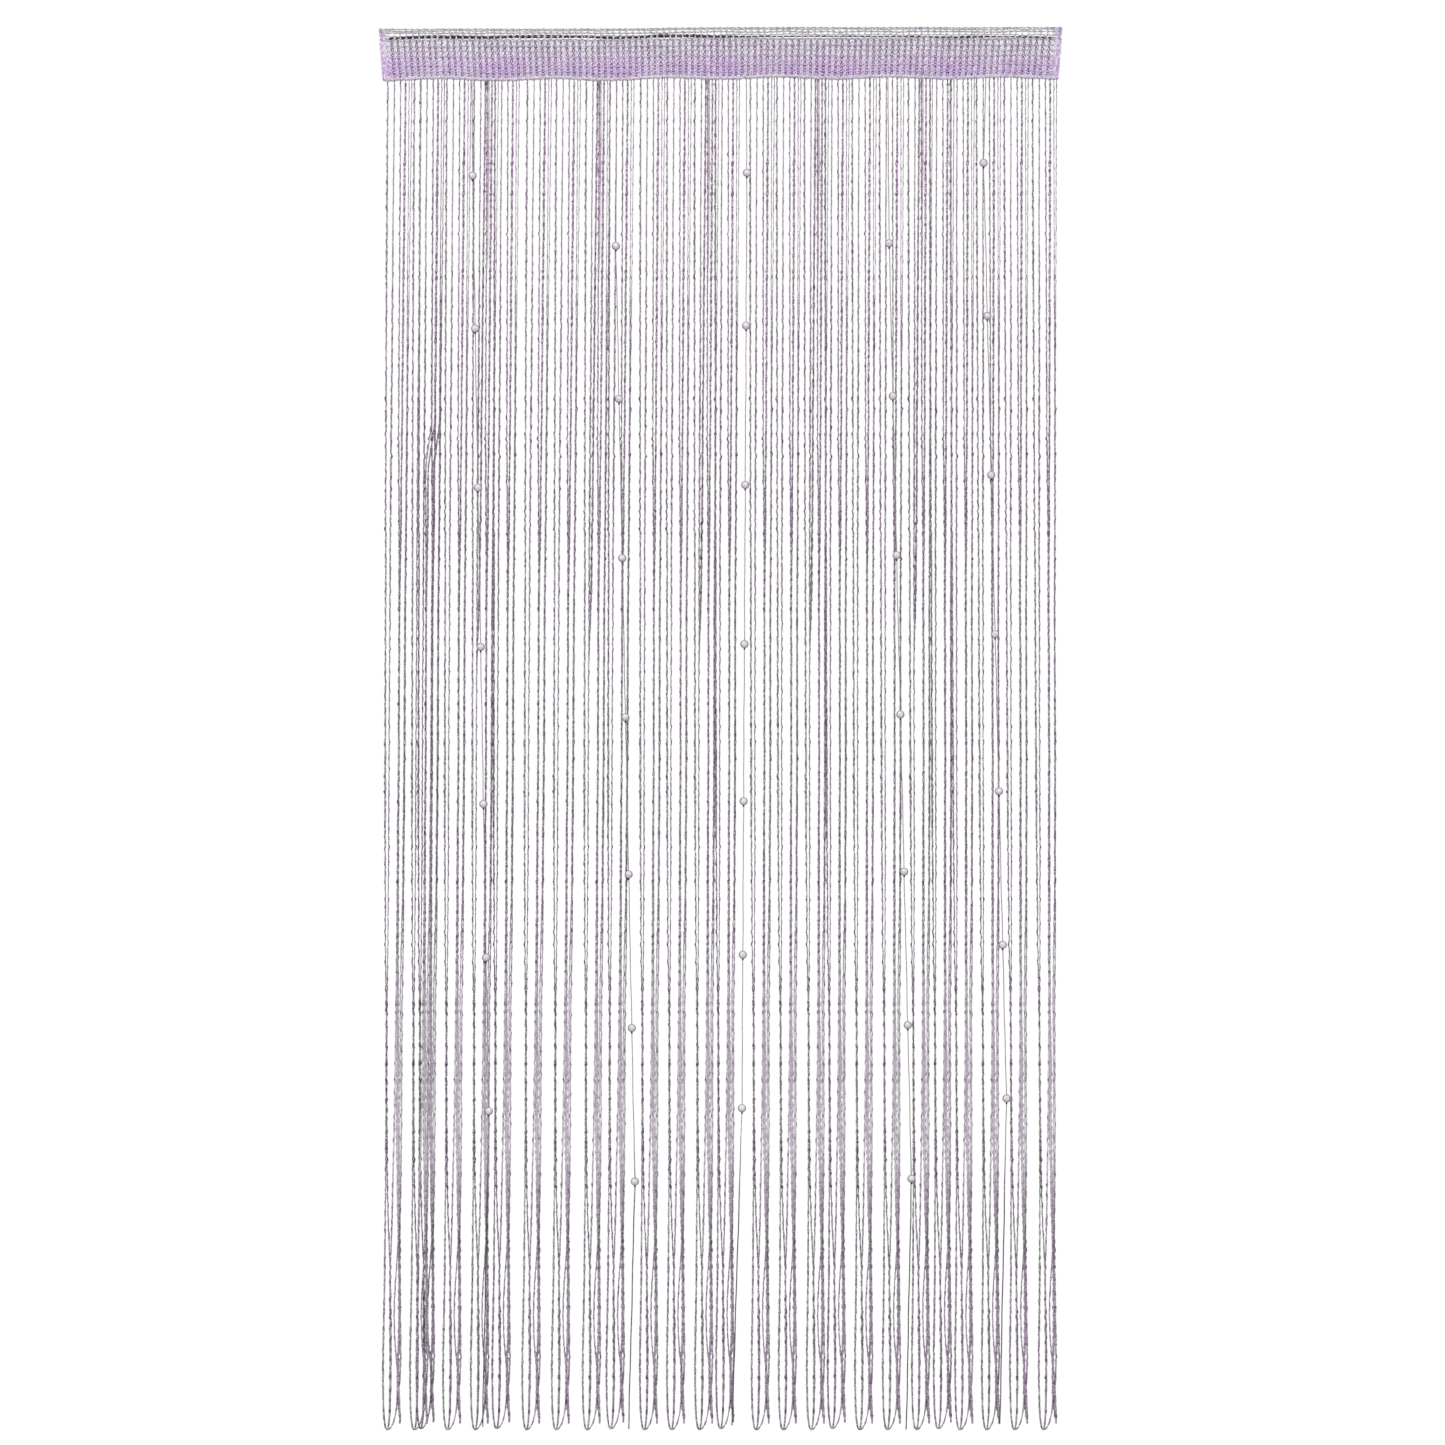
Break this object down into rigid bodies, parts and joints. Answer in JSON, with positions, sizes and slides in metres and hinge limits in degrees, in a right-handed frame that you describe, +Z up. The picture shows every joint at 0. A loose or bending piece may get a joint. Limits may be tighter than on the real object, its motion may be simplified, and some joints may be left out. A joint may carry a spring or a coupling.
{
  "type": "bead curtain",
  "caption": "String curtain for a doorway: a net heading with a rod pocket, fine knobbly strings in repeated groups, and strings of round pearls in front.",
  "frame": {"origin": "middle of the top edge of the front net, where the curtain is held up", "axes": "+Z up along the drop, +X along the width to the right as seen from the front, the curtain faces -Y"},
  "size_m": [0.972, 0.0286, 1.999],
  "materials": {
    "net_tape": "open lilac net, matt with a faint silvery glint",
    "string_yarn": "knobbly mauve and grey yarn with a fine metallic filament, thicker ones fuzzy and purple",
    "dark_cord": "dull, nearly black cord",
    "pearl": "glossy pearl white with a faint lilac sheen, on smooth grey thread"
  },
  "bodies": {
    "root": {"net_front": "net_tape", "net_back": "net_tape", "heading_cord": "dark_cord", "string_fringe": "string_yarn", "pearl_string_1": "pearl", "pearl_string_2": "pearl", "pearl_string_3": "pearl", "pearl_string_4": "pearl", "pearl_string_5": "pearl"}
  },
  "joints": []
}
